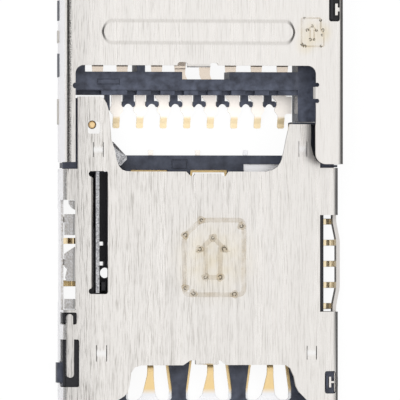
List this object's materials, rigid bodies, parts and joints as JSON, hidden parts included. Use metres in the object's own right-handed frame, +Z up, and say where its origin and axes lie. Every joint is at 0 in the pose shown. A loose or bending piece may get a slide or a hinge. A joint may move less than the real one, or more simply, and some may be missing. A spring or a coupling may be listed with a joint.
{
  "type": "sim card socket",
  "caption": "Stacked surface-mount socket for a nano SIM card below and a small memory card above, with folded steel shells, black moulded housings and plated spring contacts.",
  "frame": {"origin": "centre of the bounding box at the board plane, where the socket rests", "axes": "+Z up from the board, +Y the way both cards go in, +X to the right seen from above with the mouth towards the viewer"},
  "size_m": [0.012, 0.0212, 0.0024],
  "materials": {
    "shell_steel": "plated stainless sheet with fine straight brushing",
    "black_plastic": "glass-filled black moulding, matte",
    "contact_plate": "copper alloy, nickel plated with gold at the ends",
    "arm_steel": "nickel plated spring strip"
  },
  "bodies": {
    "root": {"base_housing": "black_plastic", "lower_shell": "shell_steel", "card_housing": "black_plastic", "upper_shell": "shell_steel", "sim_contact_1": "contact_plate", "sim_contact_2": "contact_plate", "sim_contact_3": "contact_plate", "sim_contact_4": "contact_plate", "sim_contact_5": "contact_plate", "sim_contact_6": "contact_plate", "card_contact_1": "contact_plate", "card_contact_2": "contact_plate", "card_contact_3": "contact_plate", "card_contact_4": "contact_plate", "card_contact_5": "contact_plate", "card_contact_6": "contact_plate", "card_contact_7": "contact_plate", "card_contact_8": "contact_plate", "detect_arm": "arm_steel", "detect_contact": "contact_plate"}
  },
  "joints": []
}
